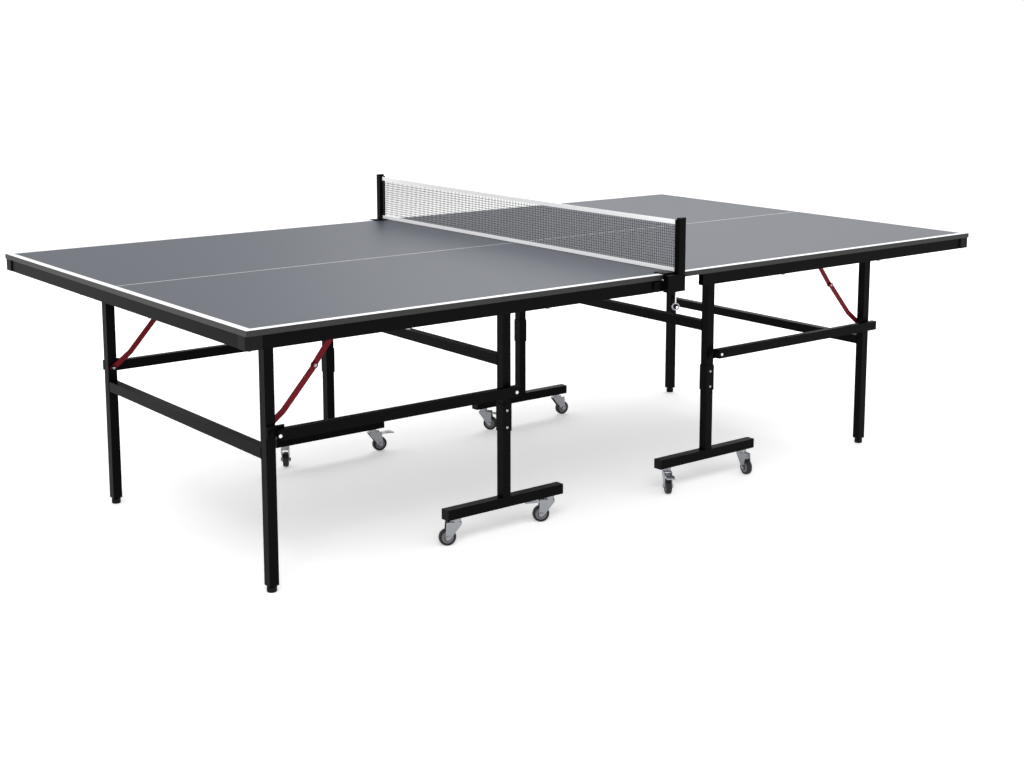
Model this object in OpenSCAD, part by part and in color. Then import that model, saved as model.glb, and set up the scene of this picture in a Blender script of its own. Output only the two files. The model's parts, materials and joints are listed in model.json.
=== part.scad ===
// Folding ping pong table: two halves on wheeled T-bases, with a clip-on net.
// X runs along the table, Y across it and Z up; the origin is on the floor under the net.
// The half on the -X side is "left", the -Y side is "near".

/* [Top] */
// Length of the playing surface
top_length = 2740; // [2400:10:2800]
// Width of the playing surface
top_width = 1525; // [1300:5:1600]
// Height of the playing surface
top_height = 760; // [700:5:800]
// Thickness of each panel
panel_thick = 15; // [12:1:25]
// Gap between the two panels under the net
panel_gap = 4; // [3:0.5:10]
// Height of the steel apron under the panel
apron_height = 35; // [25:1:60]
// Thickness of the apron tube
apron_depth = 20; // [15:1:30]
// Inset of the apron from the panel edge
apron_inset = 4; // [2:0.5:20]
// Distance from the net at which the left side aprons stop
left_apron_start = 90; // [90:1:200]
// Distance from the net at which the right side aprons stop
right_apron_start = 112; // [70:1:200]

/* [Frame] */
// Distance of the wheeled posts from the net
post_x = 408; // [350:1:500]
// Distance of the end legs from the net
leg_x = 1168; // [1000:1:1250]
// Distance of posts and legs from the centre line
frame_y = 483.5; // [400:0.5:600]
// Width of the square post and leg tubes
tube = 28; // [20:1:40]
// Wall of the steel tubes
wall = 2; // [1:0.5:3]
// Height of the bar across the end legs
leg_bar_z = 371; // [200:1:500]
// Height of the bar across the posts
post_bar_z = 512; // [450:1:600]
// Height of both cross bars' section
bar_height = 30; // [20:1:40]
// Height of the fold pivots
pivot_z = 724; // [715:1:730]
// Height of the side rail and brace pivots
rail_pivot_z = 428; // [420:1:436]

/* [Side rails] */
// Height of the rail section
rail_height = 30; // [20:1:40]
// Depth of the rail section
rail_depth = 20; // [15:1:30]
// Height of the rail centre
rail_z = 424; // [415:1:435]
// Distance that a rail runs on past the tube it crosses
rail_overrun = 28; // [20:1:80]

/* [T-bases] */
// Length of the base beam
beam_length = 420; // [300:5:500]
// Width and height of the base beam
beam_size = 30; // [25:1:40]
// Underside of the beam above the floor
beam_z = 80; // [70:1:90]
// Bottom of the sleeve that joins base and post
sleeve_z = 305; // [250:1:350]
// Height of the sleeve
sleeve_height = 81; // [50:1:120]
// Outer width of the sleeve
sleeve_width = 32; // [31:0.5:36]

/* [Braces] */
// Distance of the brace knee from the end leg
knee_dx = 153; // [120:1:200]
// Height of the brace knee
knee_z = 578; // [560:1:600]
// Distance of the brace's upper pivot from the end leg
brace_top_dx = 268; // [220:1:290]
// Thickness of the brace links
link_thick = 4; // [3:0.5:6]
// Width of the brace links
link_width = 16; // [12:1:20]

/* [Casters] */
// Distance of each caster stem from its post
caster_spread = 170; // [120:1:190]
// Wheel radius
wheel_r = 25; // [20:1:40]
// Wheel width
wheel_width = 18; // [14:1:24]
// Trail of the wheel behind its stem
trail = 26; // [15:1:40]
// Heading of the near left outer wheel, seen from above
left_near_outer_heading = 155; // [0:1:359]
// Heading of the near left inner wheel
left_near_inner_heading = 150; // [0:1:359]
// Heading of the far left outer wheel
left_far_outer_heading = 56; // [0:1:359]
// Heading of the far left inner wheel
left_far_inner_heading = 350; // [0:1:359]
// Heading of the near right inner wheel
right_near_inner_heading = 238; // [0:1:359]
// Heading of the near right outer wheel
right_near_outer_heading = 258; // [0:1:359]
// Heading of the far right inner wheel
right_far_inner_heading = 308; // [0:1:359]
// Heading of the far right outer wheel
right_far_outer_heading = 353; // [0:1:359]

/* [Net] */
// Width over the outer faces of the net posts
net_width = 1570; // [1500:5:1830]
// Top of the net posts above the floor
net_post_top = 920; // [900:1:940]
// Top of the net above the floor
net_top = 912; // [900:1:920]
// Height of the white top tape
top_tape = 13; // [8:1:20]
// Height of the bottom tape
bottom_tape = 11; // [6:1:15]
// Width of a net post
net_post_width = 24; // [15:1:35]
// Length of the pull cord that hangs from the near clamp
cord_length = 33; // [30:1:60]

/* [Hidden] */
$fn = 40;
left = -1;
right = 1;
near = -1;
far = 1;
inner = -1;
outer = 1;
fit = 0.05;
gap = 0.3;
panel_z = top_height - panel_thick;
apron_z = panel_z - apron_height;
tube_in = frame_y - tube / 2;
tube_out = frame_y + tube / 2;
tube_top = pivot_z + 10;
foot_height = 14;
foot_r = 13.5;
leg_bottom = 18;
pin_r = 5;
head_r = 8;
head_thick = 3;
rivet_thick = 2.5;
cheek = 2.5;
cheek_gap = 0.3;
bracket_half = 20;
web_thick = 3;
cheek_drop = 12;
rail_in = tube_out + 4;
rail_out = rail_in + rail_depth;
lug = 4;
blind = rail_in + rail_depth / 2 + gap;
lug_head = rail_in + lug + gap;
link_out = tube_in - 3.5;
link_in = link_out - link_thick;
upper_out = link_in - gap;
upper_in = upper_out - link_thick;
split_z = sleeve_z + sleeve_height / 2;
axle_r = 4;
pedal_u = 22;
pedal_z = 60;
pedal_reach = 72;
pedal_pin_r = 3;
fork_in = wheel_width / 2 + 1.5;
fork_wall = 2.5;
race_r = 14;
stem_r = 5;
net_half = net_width / 2;
post_in = net_half - 20;
clamp_in = top_width / 2 - 37;
clamp_back = top_width / 2 + 0.5;
clamp_bottom = 709;
screw_x = 68;
screw_y = 745;
screw_r = 4;
jaw_z = 722;
jaw_top = 741;
net_lift = 2;
cord_r = 1.5;
ring_r = 9.4;
ring_wire = 2.1;
cord_x = -12;
cord_y = near * (net_half - 12);
spigot_half = 8;
spigot_in = net_half - 11;
spigot_out = net_half - 5;
black = [0.12, 0.12, 0.13];
steel = [0.72, 0.73, 0.75];
slate = [0.34, 0.38, 0.42];
brace_red = [0.55, 0.1, 0.13];
rubber = [0.2, 0.2, 0.21];
net_grey = [0.15, 0.2, 0.3];

// Mirrors a right-hand shape onto the left half when side is -1.
module on_half(side) {
    mirror([side == left ? 1 : 0, 0, 0]) children();
}

// Repeats a far-side shape on the near side.
module both_rows() {
    children();
    mirror([0, 1, 0]) children();
}

// A box given by its low and high corners.
module span(low, high) {
    translate(low) cube(high - low);
}

// A cylinder along Y between two Y values.
module pin_y(x, z, r, y0, y1) {
    translate([x, y0, z]) rotate([-90, 0, 0]) cylinder(r = r, h = y1 - y0);
}

// A square upright tube centred on x, y, with its cavity open at both ends.
module upright(x, y, z0, z1, width) {
    difference() {
        span([x - width / 2, y - width / 2, z0], [x + width / 2, y + width / 2, z1]);
        span([x - width / 2 + wall, y - width / 2 + wall, z0 - 1],
             [x + width / 2 - wall, y + width / 2 - wall, z1 + 1]);
    }
}

// One half of the playing surface.
module panel(side) {
    color(slate) on_half(side)
        span([panel_gap / 2, -top_width / 2, panel_z], [top_length / 2, top_width / 2, top_height]);
}

// The steel tubes under the panel's edges: two sides and one end.
module apron(side) {
    far_x = top_length / 2 - apron_inset;
    far_y = top_width / 2 - apron_inset;
    apron_start = side == left ? left_apron_start : right_apron_start;
    color(black) on_half(side) {
        both_rows() difference() {
            span([apron_start, far_y - apron_depth, apron_z], [far_x, far_y, panel_z]);
            span([apron_start - 1, far_y - apron_depth + wall, apron_z + wall],
                 [far_x + 1, far_y - wall, panel_z - wall]);
        }
        difference() {
            span([far_x - apron_depth, -far_y + apron_depth + gap, apron_z],
                 [far_x, far_y - apron_depth - gap, panel_z]);
            span([far_x - apron_depth + wall, -far_y, apron_z + wall], [far_x - wall, far_y, panel_z - wall]);
        }
    }
}

// Plastic caps that wrap the outer corners of the apron.
module corner_caps(side) {
    reach = 42;
    far_x = top_length / 2;
    far_y = top_width / 2;
    round_r = 10;
    color(black) on_half(side) both_rows() difference() {
        translate([far_x - reach, far_y - reach, apron_z + 1]) linear_extrude(apron_height - 1) {
            square([reach - round_r, reach]);
            square([reach, reach - round_r]);
            translate([reach - round_r, reach - round_r]) circle(r = round_r);
        }
        span([far_x - reach - 1, far_y - reach - 1, apron_z], [far_x - apron_inset + gap / 2,
             far_y - apron_inset + gap / 2, panel_z + 1]);
    }
}

// A bracket that carries the top of a post or leg, with its pivot pin riveted in.
module pivot_bracket(x) {
    bottom = pivot_z - cheek_drop;
    for (y0 = [tube_in - cheek_gap - cheek, tube_out + cheek_gap])
        span([x - bracket_half, y0, bottom], [x + bracket_half, y0 + cheek, panel_z]);
    span([x - bracket_half, tube_in - cheek_gap - cheek, panel_z - web_thick],
         [x + bracket_half, tube_out + cheek_gap + cheek, panel_z]);
    pin_y(x, pivot_z, pin_r, tube_in - cheek_gap - cheek, tube_out + cheek_gap + cheek);
    pin_y(x, pivot_z, head_r, tube_in - cheek_gap - cheek - 2, tube_in - cheek_gap - cheek);
}

// A lug that carries the upper end of a brace on a riveted pin.
module brace_bracket(x) {
    lug_out = upper_in - gap;
    lug_in = lug_out - web_thick;
    span([x - bracket_half, lug_in, pivot_z - cheek_drop], [x + bracket_half, lug_out, panel_z]);
    span([x - bracket_half, lug_in - 22, panel_z - web_thick], [x + bracket_half, lug_out, panel_z]);
    pin_y(x, pivot_z, pin_r, lug_in, upper_out);
    pin_y(x, pivot_z, head_r, lug_in - 2, lug_in);
}

// All brackets screwed to the underside of one panel.
module top_brackets(side) {
    color(black) on_half(side) both_rows() {
        pivot_bracket(post_x);
        pivot_bracket(leg_x);
        brace_bracket(leg_x - brace_top_dx);
    }
}

// The two uprights that carry the fold pivots, with the rail studs welded on.
module posts(side) {
    stud_out = side == left ? blind - gap : lug_head + head_thick;
    color(black) on_half(side) both_rows() {
        difference() {
            upright(post_x, frame_y, split_z + gap, tube_top, tube);
            pin_y(post_x, pivot_z, pin_r + fit, tube_in - 1, tube_out + 1);
        }
        pin_y(post_x, rail_pivot_z, pin_r, tube_out - wall, stud_out);
        if (side == right)
            pin_y(post_x, rail_pivot_z, head_r, lug_head, lug_head + head_thick);
    }
}

// A bar across the two tubes at x.
module cross_bar(x, z) {
    difference() {
        span([x - tube / 2, -tube_in, z - bar_height / 2], [x + tube / 2, tube_in, z + bar_height / 2]);
        span([x - tube / 2 + wall, -tube_in - 1, z - bar_height / 2 + wall],
             [x + tube / 2 - wall, tube_in + 1, z + bar_height / 2 - wall]);
    }
}

// The bar across the two posts of one half.
module post_bar(side) {
    color(black) on_half(side) cross_bar(post_x, post_bar_z);
}

// The bar across the two end legs of one half.
module leg_bar(side) {
    color(black) on_half(side) cross_bar(leg_x, leg_bar_z);
}

// The wheeled bases: a beam, an upright and the sleeve that takes the post.
module t_bases(side) {
    half_beam = beam_length / 2 - 3;
    beam_top = beam_z + beam_size;
    half = beam_size / 2;
    color(black) on_half(side) both_rows() difference() {
        union() {
            difference() {
                span([post_x - half_beam, frame_y - half, beam_z],
                     [post_x + half_beam, frame_y + half, beam_top]);
                span([post_x - half_beam - 1, frame_y - half + wall, beam_z + wall],
                     [post_x + half_beam + 1, frame_y + half - wall, beam_top - wall]);
            }
            for (u = [inner, outer])
                span([post_x + u * caster_spread - 12, frame_y - half + 1, beam_z],
                     [post_x + u * caster_spread + 12, frame_y + half - 1, beam_top - 1]);
            upright(post_x, frame_y, beam_top - 1, split_z, tube);
            upright(post_x, frame_y, sleeve_z, sleeve_z + sleeve_height, sleeve_width);
        }
        for (u = [inner, outer])
            translate([post_x + u * caster_spread, frame_y, beam_z - 1]) cylinder(r = stem_r + fit, h = 23);
    }
}

// Plastic plugs in the open ends of the base beams.
module beam_caps(side) {
    half_beam = beam_length / 2;
    half = beam_size / 2;
    color(black) on_half(side) both_rows() for (u = [inner, outer]) {
        x = post_x + u * half_beam;
        plug = x - u * 15;
        span([min(x, x - 3 * u), frame_y - half, beam_z],
             [max(x, x - 3 * u), frame_y + half, beam_z + beam_size]);
        span([min(x - 2 * u, plug), frame_y - half + wall + 0.1, beam_z + wall + 0.1],
             [max(x - 2 * u, plug), frame_y + half - wall - 0.1, beam_z + beam_size - wall - 0.1]);
    }
}

// The two end legs, each with a threaded plug and the stud of rail and brace.
module legs(side) {
    stud_out = side == left ? lug_head + head_thick : blind - gap;
    color(black) on_half(side) both_rows() difference() {
        union() {
            upright(leg_x, frame_y, leg_bottom, tube_top, tube);
            span([leg_x - tube / 2 + 1, tube_in + 1, leg_bottom + 2],
                 [leg_x + tube / 2 - 1, tube_out - 1, leg_bottom + 22]);
            pin_y(leg_x, rail_pivot_z, pin_r, link_in - 0.5, stud_out);
            pin_y(leg_x, rail_pivot_z, head_r, link_in - gap - head_thick, link_in - gap);
            if (side == left)
                pin_y(leg_x, rail_pivot_z, head_r, lug_head, stud_out);
        }
        pin_y(leg_x, pivot_z, pin_r + fit, tube_in - 1, tube_out + 1);
        translate([leg_x, frame_y, leg_bottom - 1]) cylinder(r = stem_r + fit, h = 30);
    }
}

// A levelling foot screwed into the bottom of an end leg.
module foot(side, row) {
    color(rubber) translate([side * leg_x, row * frame_y, 0]) {
        cylinder(r1 = foot_r - 1.5, r2 = foot_r, h = 2);
        translate([0, 0, 2]) cylinder(r = foot_r, h = foot_height - 2);
        cylinder(r = stem_r, h = foot_height + 24);
    }
}

// A rail tube with a solid block where it crosses a tube, and a lug plate at its other end.
module rail(x0, x1, block_x, lug_x0, lug_x1, lug_z) {
    half = rail_height / 2;
    difference() {
        span([x0, rail_in, rail_z - half], [x1, rail_out, rail_z + half]);
        span([x0 - 1, rail_in + wall, rail_z - half + wall], [x1 + 1, rail_out - wall, rail_z + half - wall]);
    }
    span([block_x - 12, rail_in, rail_z - half + 1], [block_x + 12, blind + 3, rail_z + half - 1]);
    span([lug_x0, rail_in, lug_z - half], [lug_x1, rail_in + lug, lug_z + half]);
}

// The left rails cross the posts and end in a lug plate on the legs.
module left_rail_pair() {
    color(black) on_half(left) both_rows() difference() {
        rail(post_x - rail_overrun, leg_x - 16, post_x, leg_x - 36, leg_x + 15, rail_z + 8);
        pin_y(post_x, rail_pivot_z, pin_r + fit, rail_in - 1, blind);
        pin_y(leg_x, rail_pivot_z, pin_r + gap, rail_in - 1, rail_in + lug + 1);
    }
}

// The right rails start from a lug plate on the posts and cross the legs.
module right_rail_pair() {
    color(black) both_rows() difference() {
        rail(post_x + 17, leg_x + rail_overrun, leg_x, post_x - 12, post_x + 48, rail_z);
        pin_y(post_x, rail_pivot_z, pin_r + fit, rail_in - 1, rail_in + lug + 1);
        pin_y(leg_x, rail_pivot_z, pin_r + gap, rail_in - 1, blind);
    }
}

// A flat link from one point to another in the XZ plane.
module bar_link(x0, z0, x1, z1) {
    hull() {
        pin_y(x0, z0, link_width / 2, link_in, link_out);
        pin_y(x1, z1, link_width / 2, link_in, link_out);
    }
}

// The cranked lower brace links, from the leg stud to the knee.
module lower_links(side) {
    bend_x = leg_x - 56;
    bend_z = rail_pivot_z + 42;
    color(brace_red) on_half(side) both_rows() {
        difference() {
            union() {
                bar_link(leg_x, rail_pivot_z, bend_x, bend_z);
                bar_link(bend_x, bend_z, leg_x - knee_dx, knee_z);
            }
            pin_y(leg_x, rail_pivot_z, pin_r + fit, link_in - 1, link_out + 1);
        }
        pin_y(leg_x - knee_dx, knee_z, head_r, link_out, link_out + rivet_thick);
    }
}

// The upper brace links, from the lug under the panel to the knee.
module upper_links(side) {
    top_x = leg_x - brace_top_dx;
    color(brace_red) on_half(side) both_rows() difference() {
        union() {
            translate([0, -link_thick - gap, 0]) bar_link(leg_x - knee_dx, knee_z, top_x, pivot_z);
            pin_y(leg_x - knee_dx, knee_z, head_r, upper_in - rivet_thick, upper_in);
        }
        pin_y(top_x, pivot_z, pin_r + fit, upper_in - 1, upper_out + 1);
    }
}

// Places a caster shape, built with its stem on Z and its trail along X.
module at_caster(side, row, reach, heading) {
    translate([side * (post_x + reach * caster_spread), row * frame_y, 0]) rotate([0, 0, heading]) children();
}

// A swivelling fork with its stem, axle and, where there is a brake, the pedal pin.
module fork(side, row, reach, heading) {
    bridge = beam_z - 11;
    color(steel) at_caster(side, row, reach, heading) {
        translate([0, 0, beam_z - 1]) cylinder(r = stem_r, h = 20);
        translate([0, 0, bridge]) cylinder(r = race_r, h = beam_z - bridge - gap);
        translate([-race_r, -fork_in - fork_wall, bridge - 3]) cube([30, 2 * (fork_in + fork_wall), 3 + gap]);
        for (y0 = [-fork_in - fork_wall, fork_in]) hull() {
            pin_y(trail, wheel_r, 8, y0, y0 + fork_wall);
            span([-race_r, y0, bridge - 6], [30, y0 + fork_wall, bridge]);
        }
        pin_y(trail, wheel_r, axle_r, -fork_in - fork_wall - 2, fork_in + fork_wall + 2);
        if (reach == inner)
            pin_y(pedal_u, pedal_z, pedal_pin_r, -fork_in - 1, fork_in + 1);
    }
}

// A grey-centred wheel with a rounded dark tread.
module wheel(side, row, reach, heading) {
    half = wheel_width / 2;
    edge = 3;
    color(rubber) at_caster(side, row, reach, heading)
        translate([trail, 0, wheel_r]) rotate([-90, 0, 0]) rotate_extrude() polygon([
            [axle_r + fit, -fork_in + gap], [10, -fork_in + gap], [10, -half + 2], [wheel_r - 7, -half + 2],
            [wheel_r - 6, -half], [wheel_r - edge, -half], [wheel_r - 1, -half + edge / 2],
            [wheel_r, -half + 2 * edge], [wheel_r, half - 2 * edge], [wheel_r - 1, half - edge / 2],
            [wheel_r - edge, half], [wheel_r - 6, half], [wheel_r - 7, half - 2], [10, half - 2],
            [10, fork_in - gap], [axle_r + fit, fork_in - gap]
        ]);
}

// A foot pedal that locks the caster next to the net.
module pedal(side, row, heading) {
    knuckle = 5.5;
    half = fork_in - gap;
    color(steel) at_caster(side, row, inner, heading) difference() {
        union() {
            pin_y(pedal_u, pedal_z, knuckle, -half, half);
            span([pedal_u, -half, pedal_z], [pedal_reach - 12, half, pedal_z + 4]);
            span([pedal_reach - 26, -half - 3, pedal_z], [pedal_reach, half + 3, pedal_z + 4]);
            pin_y(pedal_reach, pedal_z + 1, 3, -half - 3, half + 3);
        }
        pin_y(pedal_u, pedal_z, pedal_pin_r + fit, -half - 1, half + 1);
    }
}

// Clamps on the edges of the left panel, each with a socket for its net post.
module net_clamps() {
    lift = top_height + gap;
    block_top = top_height - 2;
    color(black) both_rows() difference() {
        union() {
            span([-54, clamp_in, lift], [-panel_gap, clamp_back + 2, lift + 3]);
            span([-52, clamp_back, clamp_bottom], [14, clamp_back + 2, lift]);
            span([-54, clamp_back, lift - 1], [-panel_gap, clamp_back + 2, lift + 3]);
            span([-52, clamp_back + 1, clamp_bottom], [14, net_half - 1, block_top]);
            span([-87, clamp_in, jaw_z], [-42, clamp_back + 2, jaw_top]);
        }
        translate([-screw_x, screw_y, jaw_z - 1]) cylinder(r = screw_r + fit, h = jaw_top - jaw_z + 2);
        span([-spigot_half - gap, spigot_in - gap, clamp_bottom + 4],
             [spigot_half + gap, spigot_out + gap, block_top + 1]);
    }
}

// The thumb screw that presses on the panel from below.
module clamp_screw(row) {
    color(black) translate([-screw_x, row * screw_y, 0]) {
        translate([0, 0, clamp_bottom + 1]) cylinder(r = 12, h = jaw_z - clamp_bottom - 1 - gap);
        translate([0, 0, clamp_bottom + 2]) cylinder(r = screw_r, h = panel_z - clamp_bottom - 2 - gap);
    }
}

// Net posts: a low inner strip and a tall outer strip on a spigot that stands in the clamp.
module net_posts() {
    half = net_post_width / 2;
    mid = post_in + 8;
    foot_z = top_height - 1;
    color(black) both_rows() {
        span([-half, post_in + gap, foot_z + 2], [half, mid, net_post_top - 6]);
        span([-half, mid, foot_z], [half, net_half, net_post_top]);
        span([-spigot_half, spigot_in, clamp_bottom + 6], [spigot_half, spigot_out, foot_z]);
    }
}

// The net as a thin solid sheet between its two tapes.
module net_mesh() {
    color(net_grey) span([-1, -post_in, top_height + net_lift + bottom_tape + gap],
                         [1, post_in, net_top - top_tape - gap]);
}

// The white tape along the top edge of the net.
module net_top_tape() {
    color("white") span([-2, -post_in, net_top - top_tape], [2, post_in, net_top]);
}

// The white tape along the bottom edge of the net.
module net_bottom_tape() {
    color("white") span([-1.5, -post_in, top_height + net_lift],
                        [1.5, post_in, top_height + net_lift + bottom_tape]);
}

// The pull cord below the near clamp.
module net_cord() {
    sides = 10;
    rings = 9;
    points = [
        for (i = [0 : rings - 1], k = [0 : sides - 1])
            [cord_x + cord_r * cos(360 * k / sides), cord_y + cord_r * sin(360 * k / sides),
             clamp_bottom - cord_length * i / (rings - 1)]
    ];
    walls = [
        for (i = [0 : rings - 2], k = [0 : sides - 1])
            [i * sides + k, i * sides + (k + 1) % sides,
             (i + 1) * sides + (k + 1) % sides, (i + 1) * sides + k]
    ];
    first = [for (k = [sides - 1 : -1 : 0]) k];
    last = [for (k = [0 : sides - 1]) (rings - 1) * sides + k];
    color("white") polyhedron(points = points, faces = concat(walls, [first, last]));
}

// The ring at the end of the pull cord.
module net_ring() {
    color(steel) translate([cord_x, cord_y, clamp_bottom - cord_length - ring_r - ring_wire])
        rotate([90, 0, -39]) rotate_extrude() translate([ring_r, 0]) circle(r = ring_wire, $fn = 16);
}

panel(left);  // left_panel
panel(right);  // right_panel
apron(left);  // left_apron
apron(right);  // right_apron
corner_caps(left);  // left_corner_caps
corner_caps(right);  // right_corner_caps
top_brackets(left);  // left_top_brackets
top_brackets(right);  // right_top_brackets
posts(left);  // left_posts
posts(right);  // right_posts
post_bar(left);  // left_post_bar
post_bar(right);  // right_post_bar
t_bases(left);  // left_t_bases
t_bases(right);  // right_t_bases
beam_caps(left);  // left_beam_caps
beam_caps(right);  // right_beam_caps
legs(left);  // left_legs
legs(right);  // right_legs
leg_bar(left);  // left_leg_bar
leg_bar(right);  // right_leg_bar
left_rail_pair();  // left_rails
right_rail_pair();  // right_rails
lower_links(left);  // left_lower_links
lower_links(right);  // right_lower_links
upper_links(left);  // left_upper_links
upper_links(right);  // right_upper_links
foot(left, near);  // foot_left_near
foot(left, far);  // foot_left_far
foot(right, near);  // foot_right_near
foot(right, far);  // foot_right_far
fork(left, near, outer, left_near_outer_heading);  // fork_left_near_outer
fork(left, near, inner, left_near_inner_heading);  // fork_left_near_inner
fork(left, far, outer, left_far_outer_heading);  // fork_left_far_outer
fork(left, far, inner, left_far_inner_heading);  // fork_left_far_inner
fork(right, near, inner, right_near_inner_heading);  // fork_right_near_inner
fork(right, near, outer, right_near_outer_heading);  // fork_right_near_outer
fork(right, far, inner, right_far_inner_heading);  // fork_right_far_inner
fork(right, far, outer, right_far_outer_heading);  // fork_right_far_outer
wheel(left, near, outer, left_near_outer_heading);  // wheel_left_near_outer
wheel(left, near, inner, left_near_inner_heading);  // wheel_left_near_inner
wheel(left, far, outer, left_far_outer_heading);  // wheel_left_far_outer
wheel(left, far, inner, left_far_inner_heading);  // wheel_left_far_inner
wheel(right, near, inner, right_near_inner_heading);  // wheel_right_near_inner
wheel(right, near, outer, right_near_outer_heading);  // wheel_right_near_outer
wheel(right, far, inner, right_far_inner_heading);  // wheel_right_far_inner
wheel(right, far, outer, right_far_outer_heading);  // wheel_right_far_outer
pedal(left, near, left_near_inner_heading);  // pedal_left_near
pedal(left, far, left_far_inner_heading);  // pedal_left_far
pedal(right, near, right_near_inner_heading);  // pedal_right_near
pedal(right, far, right_far_inner_heading);  // pedal_right_far
net_clamps();
clamp_screw(near);  // clamp_screw_near
clamp_screw(far);  // clamp_screw_far
net_posts();
net_mesh();
net_top_tape();
net_bottom_tape();
net_cord();
net_ring();
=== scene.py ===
"""Looks of a folding ping pong table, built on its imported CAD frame. Metres; X along the table, Z up."""
import json
from math import cos, pi, radians, sin

import bmesh
import bpy
from mathutils import Matrix, Vector

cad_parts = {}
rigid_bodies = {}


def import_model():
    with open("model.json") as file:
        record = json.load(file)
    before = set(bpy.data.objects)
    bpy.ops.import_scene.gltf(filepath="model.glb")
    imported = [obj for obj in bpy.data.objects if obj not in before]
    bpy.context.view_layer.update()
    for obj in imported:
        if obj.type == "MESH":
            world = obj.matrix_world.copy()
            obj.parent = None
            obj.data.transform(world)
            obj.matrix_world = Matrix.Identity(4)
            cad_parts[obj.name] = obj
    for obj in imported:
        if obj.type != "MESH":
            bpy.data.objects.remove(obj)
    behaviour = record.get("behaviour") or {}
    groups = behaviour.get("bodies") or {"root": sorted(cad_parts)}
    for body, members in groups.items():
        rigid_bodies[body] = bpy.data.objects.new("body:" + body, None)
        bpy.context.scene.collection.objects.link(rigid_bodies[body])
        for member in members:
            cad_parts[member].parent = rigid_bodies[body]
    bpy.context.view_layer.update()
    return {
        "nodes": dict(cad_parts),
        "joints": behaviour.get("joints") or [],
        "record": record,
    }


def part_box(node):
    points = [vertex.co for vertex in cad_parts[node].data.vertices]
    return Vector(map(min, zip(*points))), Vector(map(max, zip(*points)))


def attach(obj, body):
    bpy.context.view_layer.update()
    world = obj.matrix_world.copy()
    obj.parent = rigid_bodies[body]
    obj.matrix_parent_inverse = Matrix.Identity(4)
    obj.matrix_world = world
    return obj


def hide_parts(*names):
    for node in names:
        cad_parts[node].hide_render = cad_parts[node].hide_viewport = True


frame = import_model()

nodes = frame["nodes"]
SIDES = {"left": -1, "right": 1}
ROWS = {"near": -1, "far": 1}


# ---------------------------------------------------------------- camera
def make_camera():
    """A 55 mm view from the near left corner, a little above the playing surface."""
    place = (-3.0654, -3.9594, 1.4767)
    azimuth, elevation, roll = radians(-39.30), radians(9.236), radians(0.234)
    back = Vector((sin(azimuth) * cos(elevation), -cos(azimuth) * cos(elevation), sin(elevation)))
    right = Vector((cos(azimuth), sin(azimuth), 0))
    up = back.cross(right)
    right, up = cos(roll) * right + sin(roll) * up, cos(roll) * up - sin(roll) * right
    camera = bpy.data.objects.new("camera", bpy.data.cameras.new("camera"))
    camera.data.lens = 55.07
    camera.data.shift_x = -0.042
    camera.data.shift_y = -0.1093
    camera.data.clip_end = 200
    turn = Matrix((right, up, back)).transposed().to_4x4()
    camera.matrix_world = Matrix.Translation(place) @ turn
    bpy.context.scene.collection.objects.link(camera)
    bpy.context.scene.camera = camera


make_camera()


# ---------------------------------------------------------------- shader helpers
def new_material(name, color, roughness, metallic=0.0, specular=0.5):
    material = bpy.data.materials.new(name)
    material.use_nodes = True
    shader = material.node_tree.nodes["Principled BSDF"]
    shader.inputs["Base Color"].default_value = (*color, 1)
    shader.inputs["Roughness"].default_value = roughness
    shader.inputs["Metallic"].default_value = metallic
    shader.inputs["Specular IOR Level"].default_value = specular
    return material


def add_node(material, kind, **values):
    node = material.node_tree.nodes.new(kind)
    for key, value in values.items():
        setattr(node, key, value)
    return node


def link(material, source, target):
    material.node_tree.links.new(source, target)


def shader_of(material):
    return material.node_tree.nodes["Principled BSDF"]


def compare(material, kind, value, limit):
    """A math node such as GREATER_THAN on a socket."""
    node = add_node(material, "ShaderNodeMath", operation=kind)
    link(material, value, node.inputs[0])
    node.inputs[1].default_value = limit
    return node.outputs[0]


def join_values(material, kind, a, b):
    node = add_node(material, "ShaderNodeMath", operation=kind)
    link(material, a, node.inputs[0])
    link(material, b, node.inputs[1])
    return node.outputs[0]


def blend_colors(material, factor, color_a, color_b):
    """A mix of two colours, each a tuple or a socket; 6, 7 and 2 are the Mix node's colour sockets."""
    mix = add_node(material, "ShaderNodeMix", data_type="RGBA")
    link(material, factor, mix.inputs["Factor"])
    for socket, color in ((mix.inputs[6], color_a), (mix.inputs[7], color_b)):
        if isinstance(color, tuple):
            socket.default_value = (*color, 1)
        else:
            link(material, color, socket)
    return mix.outputs[2]


def add_grain(material, scale, strength, distance, spread=0.06):
    """Fine bump and a slight roughness change, in the part's own coordinates."""
    coords = add_node(material, "ShaderNodeTexCoord")
    noise = add_node(material, "ShaderNodeTexNoise")
    noise.inputs["Scale"].default_value = scale
    noise.inputs["Detail"].default_value = 4
    link(material, coords.outputs["Object"], noise.inputs["Vector"])
    bump = add_node(material, "ShaderNodeBump")
    bump.inputs["Strength"].default_value = strength
    bump.inputs["Distance"].default_value = distance
    link(material, noise.outputs[0], bump.inputs["Height"])
    link(material, bump.outputs[0], shader_of(material).inputs["Normal"])
    base = shader_of(material).inputs["Roughness"].default_value
    spot = add_node(material, "ShaderNodeMapRange")
    spot.inputs["To Min"].default_value = base - spread
    spot.inputs["To Max"].default_value = base + spread
    link(material, noise.outputs[0], spot.inputs["Value"])
    link(material, spot.outputs[0], shader_of(material).inputs["Roughness"])
    return coords


# ---------------------------------------------------------------- materials
TOP_COLOR = (0.032, 0.042, 0.062)
EDGE_COLOR = (0.006, 0.006, 0.007)
LINE_COLOR = (0.80, 0.81, 0.82)
BORDER_LINE, CENTRE_LINE = 0.020, 0.003
PAINT_DEPTH = 0.0004


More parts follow.
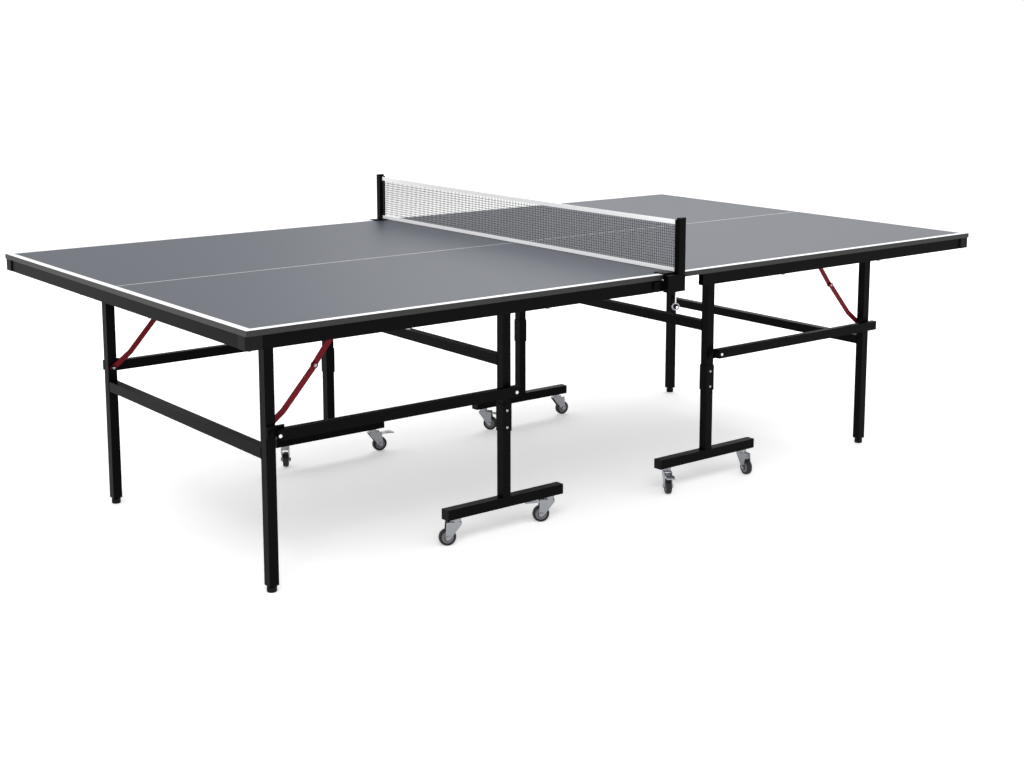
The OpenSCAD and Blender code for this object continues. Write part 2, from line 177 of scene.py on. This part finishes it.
def make_top_material():
    """Blue-grey lacquered board with white border lines and a centre line; the edges stay dark."""
    panel_low, panel_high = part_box("left_panel")
    half_length, half_width, top = -panel_low[0], panel_high[1], panel_high[2]
    material = new_material("table_top", TOP_COLOR, 0.50, specular=0.40)
    coords = add_grain(material, 900, 0.12, 0.0002)
    split = add_node(material, "ShaderNodeSeparateXYZ")
    link(material, coords.outputs["Object"], split.inputs[0])
    x = compare(material, "ABSOLUTE", split.outputs[0], 0)
    y = compare(material, "ABSOLUTE", split.outputs[1], 0)
    at_end = compare(material, "GREATER_THAN", x, half_length - BORDER_LINE)
    at_side = compare(material, "GREATER_THAN", y, half_width - BORDER_LINE)
    at_centre = compare(material, "LESS_THAN", y, CENTRE_LINE / 2)
    edge = join_values(material, "MAXIMUM", at_end, at_side)
    lines = join_values(material, "MAXIMUM", edge, at_centre)
    on_top = compare(material, "GREATER_THAN", split.outputs[2], top - PAINT_DEPTH)
    painted = join_values(material, "MULTIPLY", lines, on_top)
    board = blend_colors(material, on_top, EDGE_COLOR, TOP_COLOR)
    final = blend_colors(material, painted, board, LINE_COLOR)
    link(material, final, shader_of(material).inputs["Base Color"])
    return material


def make_materials():
    """All the materials by name, each with its grain as (scale, strength, depth)."""
    made = {"table_top": make_top_material()}

    def add(name, color, roughness, grain, spread=0.06, **looks):
        made[name] = new_material(name, color, roughness, **looks)
        add_grain(made[name], *grain, spread)

    add("black_steel", (0.0014, 0.0014, 0.0017), 0.42, (1400, 0.25, 0.0002), specular=0.04)
    add("red_steel", (0.155, 0.004, 0.010), 0.42, (1200, 0.2, 0.0002), specular=0.1)
    add("black_plastic", (0.004, 0.004, 0.0045), 0.55, (1800, 0.35, 0.0003), specular=0.1)
    add("zinc", (0.30, 0.31, 0.33), 0.25, (300, 0.12, 0.0003), spread=0.1, metallic=1.0)
    add("wheel_rubber", (0.012, 0.012, 0.014), 0.5, (1500, 0.3, 0.0003), specular=0.25)
    add("wheel_hub", (0.11, 0.11, 0.115), 0.5, (900, 0.15, 0.0002))
    add("net_fabric", (0.030, 0.034, 0.044), 0.85, (2500, 0.5, 0.0003))
    add("white_tape", (0.86, 0.86, 0.87), 0.85, (2200, 0.5, 0.0003))
    add("white_plastic", (0.80, 0.80, 0.80), 0.4, (1200, 0.1, 0.0002))
    return made


materials = make_materials()


def paint_frame():
    """Gives each CAD node the material of its slot in the record."""
    for entry in frame["record"]["subparts"]:
        slots = nodes[entry["node"]].data.materials
        slots.clear()
        slots.append(materials[entry["material_slot"]])


paint_frame()


# ---------------------------------------------------------------- piece helpers
def finish_piece(mesh_data, name, body, material):
    """Puts a mesh on its body, with a material."""
    piece = bpy.data.objects.new(name, mesh_data)
    bpy.context.scene.collection.objects.link(piece)
    piece.data.materials.append(materials[material])
    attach(piece, body)
    return piece


def mesh_of(build, name):
    """A mesh from a function that fills a bmesh."""
    bm = bmesh.new()
    build(bm)
    data = bpy.data.meshes.new(name)
    bm.to_mesh(data)
    bm.free()
    return data


def lathe(bm, profile, place, axis, steps=24):
    """Turns (radius, height) points about an axis at a place."""
    turn = Vector((0, 0, 1)).rotation_difference(Vector(axis)).to_matrix()
    rings = []
    for radius, height in profile:
        ring = []
        for k in range(steps):
            a = 2 * pi * k / steps
            point = turn @ Vector((radius * cos(a), radius * sin(a), height)) + Vector(place)
            ring.append(bm.verts.new(point))
        rings.append(ring)
    for low, high in zip(rings, rings[1:]):
        for k in range(steps):
            bm.faces.new((low[k], low[(k + 1) % steps], high[(k + 1) % steps], high[k]))
    bm.faces.new(list(reversed(rings[0])))
    bm.faces.new(rings[-1])


def box_into(bm, low, high, bevel=0.0):
    """A box between two corners, with rounded edges where bevel is given."""
    (x0, y0, z0), (x1, y1, z1) = low, high
    loop = ((x0, y0), (x1, y0), (x1, y1), (x0, y1))
    floor, roof = ([bm.verts.new((x, y, z)) for x, y in loop] for z in (z0, z1))
    faces = [bm.faces.new(reversed(floor)), bm.faces.new(roof)]
    for k in range(4):
        n = (k + 1) % 4
        faces.append(bm.faces.new((floor[k], floor[n], roof[n], roof[k])))
    if bevel:
        edges = {edge for face in faces for edge in face.edges}
        bmesh.ops.bevel(bm, geom=list(edges), offset=bevel, segments=2, affect="EDGES")


# ---------------------------------------------------------------- pull cord
CORD_X, CORD_Y, CORD_TOP = -0.012, -0.773, 0.709
CORD_LENGTH, CORD_DIAMETER = 0.033, 0.003
CORD_POINTS = 9


def make_cord():
    """The white pull cord that hangs from the near clamp to its ring."""
    data = bpy.data.curves.new("pull_cord", "CURVE")
    data.dimensions = "3D"
    data.bevel_depth = CORD_DIAMETER / 2
    data.bevel_resolution = 4
    data.use_fill_caps = True
    spline = data.splines.new("POLY")
    spline.points.add(CORD_POINTS - 1)
    for i, point in enumerate(spline.points):
        point.co = (CORD_X, CORD_Y, CORD_TOP - CORD_LENGTH * i / (CORD_POINTS - 1), 1)
    data.materials.append(materials["white_tape"])
    cord = bpy.data.objects.new("pull_cord", data)
    bpy.context.scene.collection.objects.link(cord)
    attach(cord, "left_top")
    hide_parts("net_cord")


make_cord()


# ---------------------------------------------------------------- net
NET_SAG = 0.003
THREAD = 0.0013
MESH_CELL = 0.008
TAPE_STEPS = 60
TAPE_SHOULDER = 0.0008


def sag_at(y, half):
    """How far the net hangs below its ends."""
    return NET_SAG * (1 - (y / half) ** 2)


def make_net_mesh():
    """Knotted threads as thin square bars, between the two tapes."""
    low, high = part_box("net_mesh")
    half = high[1]
    columns = round(2 * half / MESH_CELL)
    rows = round((high[2] - low[2]) / MESH_CELL)
    t = THREAD / 2

    def bars(bm):
        for i in range(1, columns):
            y = -half + 2 * half * i / columns
            box_into(bm, (-t, y - t, low[2]), (t, y + t, high[2] - sag_at(y, half)))
        for j in range(1, rows):
            share = j / rows
            for i in range(columns):
                y0 = -half + 2 * half * i / columns
                y1 = -half + 2 * half * (i + 1) / columns
                z = low[2] + (high[2] - sag_at((y0 + y1) / 2, half) - low[2]) * share
                box_into(bm, (-t, y0 + t, z - t), (t, y1 - t, z + t))

    net = finish_piece(mesh_of(bars, "net_threads"), "net_threads", "net", "net_fabric")
    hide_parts("net_mesh")


def make_tape(node, name, sagging, half_thick):
    """A tape folded over one edge of the net: sagging is 1 if it hangs with the net, 0 if it is straight."""
    low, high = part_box(node)
    half = high[1]
    shoulder = high[2] - TAPE_SHOULDER

    def fill(bm):
        rings = []
        for i in range(TAPE_STEPS + 1):
            y = -half + 2 * half * i / TAPE_STEPS
            drop = sag_at(y, half) * sagging
            ring = [(-half_thick, low[2]), (half_thick, low[2]), (half_thick, shoulder),
                    (0, high[2]), (-half_thick, shoulder)]
            rings.append([bm.verts.new((x, y, z - drop)) for x, z in ring])
        for a, b in zip(rings, rings[1:]):
            for k in range(len(a)):
                n = (k + 1) % len(a)
                bm.faces.new((a[k], b[k], b[n], a[n]))
        bm.faces.new(rings[0])
        bm.faces.new(list(reversed(rings[-1])))

    tape = finish_piece(mesh_of(fill, name), name, "net", "white_tape")
    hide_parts(node)


make_net_mesh()
make_tape("net_top_tape", "top_tape", sagging=1, half_thick=0.0012)
make_tape("net_bottom_tape", "bottom_tape", sagging=0, half_thick=0.0010)


# ---------------------------------------------------------------- fasteners, plugs and welds
# Radius and height of each kind of head.
SLEEVE_BOLT = (0.0042, 0.0018)
RAIL_BOLT = (0.0048, 0.0030)
RIVET_NIB = (0.0045, 0.0016)
FLAT_NIB = (0.0045, 0.0008)
APRON_SCREW = (0.0060, 0.0050)
CORNER_SCREW = (0.0050, 0.0050)


def make_bolt(name, body, place, axis, size, material="zinc"):
    """A round-headed bolt: place is the centre of its seat, axis points out of it."""
    radius, height = size
    profile = [(radius, 0), (radius, height * 0.45), (radius * 0.8, height * 0.85), (radius * 0.35, height)]
    data = mesh_of(lambda bm: lathe(bm, profile, place, axis), name)
    finish_piece(data, name, body, material)


# The pivots come from the joints. The knee is one link radius inside the upper links' box.
joints = {joint["name"]: joint for joint in frame["joints"]}
POST_X, _, FOLD_Z = joints["right_fold"]["pos_m"]
LEG_X = joints["right_leg_swing"]["pos_m"][0]
BRACE_X = joints["right_upper_brace_swing"]["pos_m"][0]
RAIL_PIVOT_Z = joints["right_rail_swing"]["pos_m"][2]
LINK_R = 0.008
KNEE_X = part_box("right_upper_links")[1][0] - LINK_R
KNEE_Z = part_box("right_upper_links")[0][2] + LINK_R

SLEEVE_BOLT_HEIGHTS = (0.317, 0.367)
RAIL_BOLT_Z = 0.422
RAIL_BOLTS_X = {"left": (1.153, 0.390), "right": (0.436,)}
RAIL_ENDS_X = {"left": (0.380, 1.152), "right": (0.425, 1.196)}
RAIL_LOW, RAIL_HIGH, RAIL_DEPTH = 0.409, 0.439, 0.020
RAIL_WALL = 0.0022
PLUG_DEPTH, PLUG_LIP, PLUG_ROUND = 0.008, 0.0012, 0.0006

# Faces of the rivet heads, as distances from the middle of the table.
KNEE_OUTER_Y, KNEE_INNER_Y = 0.4685, 0.4552
LEG_PIVOT_Y, TOP_PIVOT_Y = 0.4587, 0.4524

APRON_SCREWS_X = (0.462, 0.912)
END_SCREW_Y = 0.218
SCREW_INSET = 0.010
CORNER_INSET = 0.016


def make_sleeve_bolts(side, s, row, r):
    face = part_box(f"{side}_t_bases")[1][1]
    for k, z in enumerate(SLEEVE_BOLT_HEIGHTS):
        make_bolt(f"sleeve_bolt_{side}_{row}_{k}", f"{side}_base", (s * POST_X, r * face, z), (0, r, 0),
                  SLEEVE_BOLT)


def make_rail_fittings(side, s, row, r):
    """White-capped bolts and black end plugs on the side rails."""
    body = f"{side}_rail_pair"
    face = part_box(f"{side}_rails")[1][1]
    for k, x in enumerate(RAIL_BOLTS_X[side]):
        make_bolt(f"rail_bolt_{side}_{row}_{k}", body, (s * x, r * face, RAIL_BOLT_Z), (0, r, 0),
                  RAIL_BOLT, "white_plastic")
    for k, (x, way) in enumerate(zip(RAIL_ENDS_X[side], (-1, 1))):
        x0, x1 = sorted((s * (x - way * PLUG_DEPTH), s * (x + way * PLUG_LIP)))
        y0, y1 = sorted((r * (face - RAIL_DEPTH + RAIL_WALL), r * (face - RAIL_WALL)))
        low, high = (x0, y0, RAIL_LOW + RAIL_WALL), (x1, y1, RAIL_HIGH - RAIL_WALL)
        data = mesh_of(lambda bm: box_into(bm, low, high, PLUG_ROUND), "plug")
        finish_piece(data, f"rail_plug_{side}_{row}_{k}", body, "black_plastic")


def make_brace_rivets(side, s, row, r):
    """Bright nibs on the rivet heads of the brace: way is 1 on a head's outer face, -1 on an inner one."""
    for name, body, x, y, z, way, size in (
        ("knee_outer", "lower_brace", KNEE_X, KNEE_OUTER_Y, KNEE_Z, 1, FLAT_NIB),
        ("knee_inner", "upper_brace", KNEE_X, KNEE_INNER_Y, KNEE_Z, -1, RIVET_NIB),
        ("leg_pivot", "leg_frame", LEG_X, LEG_PIVOT_Y, RAIL_PIVOT_Z, -1, RIVET_NIB),
        ("top_pivot", "top", BRACE_X, TOP_PIVOT_Y, FOLD_Z, -1, RIVET_NIB),
    ):
        make_bolt(f"{name}_{side}_{row}", f"{side}_{body}", (s * x, r * y, z), (0, way * r, 0), size)


def make_apron_screws(side, s, row, r):
    """Screw heads under the side tube, the end tube and the corner cap of the apron."""
    low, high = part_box(f"{side}_apron")
    end = max(abs(low[0]), abs(high[0]))
    down, body = (0, 0, -1), f"{side}_top"
    for k, x in enumerate(APRON_SCREWS_X):
        make_bolt(f"apron_screw_{side}_{row}_{k}", body, (s * x, r * (high[1] - SCREW_INSET), low[2]), down,
                  APRON_SCREW)
    make_bolt(f"end_screw_{side}_{row}", body, (s * (end - SCREW_INSET), r * END_SCREW_Y, low[2]), down,
              APRON_SCREW)
    caps_low, caps_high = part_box(f"{side}_corner_caps")
    cap_x = max(abs(caps_low[0]), abs(caps_high[0])) - CORNER_INSET
    cap_y = caps_high[1] - CORNER_INSET
    make_bolt(f"corner_screw_{side}_{row}", body, (s * cap_x, r * cap_y, caps_low[2]), down, CORNER_SCREW)


def make_fasteners():
    for side, s in SIDES.items():
        for row, r in ROWS.items():
            make_sleeve_bolts(side, s, row, r)
            make_rail_fittings(side, s, row, r)
            make_brace_rivets(side, s, row, r)
            make_apron_screws(side, s, row, r)


# Outlines as (radius, distance from the middle of the wheel).
DISC_OUTLINE = ((0.0175, 0.0071), (0.0172, 0.0079), (0.0120, 0.0082), (0.0102, 0.0100))
NUT_OUTLINE = ((0.0068, 0.0131), (0.0068, 0.0160), (0.0058, 0.0168))


def make_wheel_details():
    """Grey discs in the recess of each wheel, and a nut on each end of its axle."""
    for joint in (j for j in frame["joints"] if j["name"].endswith("_roll")):
        wheel, fork = joint["child"], joint["parent"]
        axis, centre = Vector(joint["axis"]).normalized(), Vector(joint["pos_m"])

        def both_sides(bm, profile, steps):
            for way in (-1, 1):
                lathe(bm, profile, centre, axis * way, steps)

        discs = mesh_of(lambda bm: both_sides(bm, DISC_OUTLINE, 32), "hub")
        finish_piece(discs, f"hub_{wheel}", wheel, "wheel_hub")
        nuts = mesh_of(lambda bm: both_sides(bm, NUT_OUTLINE, 6), "nuts")
        finish_piece(nuts, f"axle_nuts_{wheel}", fork, "zinc")


KNOB_R, KNOB_LOW, KNOB_HIGH = 0.0121, 0.7115, 0.7200
KNOB_RIBS = 14
RIB_HALF, RIB_ROUND = 0.0009, 0.0003


def make_knob_ribs():
    """Grip ribs round the heads of the two clamp screws."""
    for joint in (j for j in frame["joints"] if "clamp_screw" in j["name"]):
        x, y, _ = joint["pos_m"]

        def ribs(bm):
            for k in range(KNOB_RIBS):
                a = 2 * pi * k / KNOB_RIBS
                px, py = x + KNOB_R * cos(a), y + KNOB_R * sin(a)
                box_into(bm, (px - RIB_HALF, py - RIB_HALF, KNOB_LOW),
                         (px + RIB_HALF, py + RIB_HALF, KNOB_HIGH), RIB_ROUND)

        finish_piece(mesh_of(ribs, "ribs"), f"knob_ribs_{joint['child']}", joint["child"], "black_plastic")


PEDAL_RIB_REACHES = (0.030, 0.036, 0.042)
PEDAL_RIB_RISE = 0.0043
PEDAL_RIB_SIZE = (0.0024, 0.020, 0.0012)


def make_pedal_ribs():
    """Three cross ribs on each brake pedal."""
    for joint in (j for j in frame["joints"] if j["name"].endswith("_brake")):
        across = Vector(joint["axis"]).normalized()
        up = Vector((0, 0, 1))
        along = across.cross(up)
        start = Vector(joint["pos_m"]) + up * PEDAL_RIB_RISE
        turn = Matrix((along, across, up)).transposed()

        def ribs(bm):
            for reach in PEDAL_RIB_REACHES:
                for v in bmesh.ops.create_cube(bm, size=1)["verts"]:
                    offset = Vector(a * b for a, b in zip(v.co, PEDAL_RIB_SIZE))
                    v.co = start + along * reach + turn @ offset

        finish_piece(mesh_of(ribs, "ribs"), f"pedal_ribs_{joint['child']}", joint["child"], "zinc")


def outline_into(bm, corners, r):
    """Round-edged bars along a closed loop of corners."""
    for a, b in zip(corners, corners[1:] + corners[:1]):
        low = [min(p, q) - r for p, q in zip(a, b)]
        high = [max(p, q) + r for p, q in zip(a, b)]
        box_into(bm, low, high, r * 0.7)


TUBE_HALF, TUBE_Y = 0.014, 0.4835
BEAM_TOP = 0.110
FOOT_BEAD_R, BAR_BEAD_R = 0.0012, 0.0011
POST_BAR_Z, LEG_BAR_Z, BAR_HALF = 0.512, 0.371, 0.015
CORNERS = ((-1, -1), (1, -1), (1, 1), (-1, 1))


def make_welds():
    """Weld beads where the posts stand on the beams and where the cross bars meet the tubes."""
    for side, s in SIDES.items():
        def post_feet(bm):
            for r in ROWS.values():
                x, y = s * POST_X, r * TUBE_Y
                loop = [(x + u * TUBE_HALF, y + v * TUBE_HALF, BEAM_TOP) for u, v in CORNERS]
                outline_into(bm, loop, FOOT_BEAD_R)

        finish_piece(mesh_of(post_feet, "beads"), f"beam_beads_{side}", f"{side}_base", "black_steel")
        for body, x, z in ((f"{side}_base", POST_X, POST_BAR_Z), (f"{side}_leg_frame", LEG_X, LEG_BAR_Z)):
            def bar_ends(bm):
                for r in ROWS.values():
                    y = r * (TUBE_Y - TUBE_HALF)
                    loop = [(s * x + u * TUBE_HALF, y, z + v * BAR_HALF) for u, v in CORNERS]
                    outline_into(bm, loop, BAR_BEAD_R)

            finish_piece(mesh_of(bar_ends, "beads"), f"bar_beads_{body}", body, "black_steel")


make_fasteners()
make_wheel_details()
make_knob_ribs()
make_pedal_ribs()
make_welds()


# ---------------------------------------------------------------- floor and light
def make_stage():
    """A pale floor, a white surround and two soft lights."""
    floor_data = mesh_of(lambda bm: bmesh.ops.create_grid(bm, x_segments=1, y_segments=1, size=60), "floor")
    floor = bpy.data.objects.new("floor", floor_data)
    bpy.context.scene.collection.objects.link(floor)
    pale = new_material("floor", (0.90, 0.90, 0.90), 0.9, specular=0.1)
    shader_of(pale).inputs["Emission Color"].default_value = (1, 1, 1, 1)
    shader_of(pale).inputs["Emission Strength"].default_value = 0.35
    floor_data.materials.append(pale)
    world = bpy.data.worlds.new("world")
    bpy.context.scene.world = world
    world.use_nodes = True
    world.node_tree.nodes["Background"].inputs["Color"].default_value = (1, 1, 1, 1)
    world.node_tree.nodes["Background"].inputs["Strength"].default_value = 1.0
    for name, place, aim, size, power in (
        ("key", (-3.5, -4.5, 5.0), (0, 0, 0.6), 4.0, 220),
        ("fill", (4.0, 3.5, 4.5), (0, 0, 0.6), 5.0, 120),
    ):
        light = bpy.data.objects.new(name, bpy.data.lights.new(name, "AREA"))
        light.data.size = size
        light.data.energy = power
        light.location = place
        light.rotation_euler = (Vector(aim) - Vector(place)).to_track_quat("-Z", "Y").to_euler()
        bpy.context.scene.collection.objects.link(light)
    bpy.context.scene.view_settings.view_transform = "Standard"


make_stage()
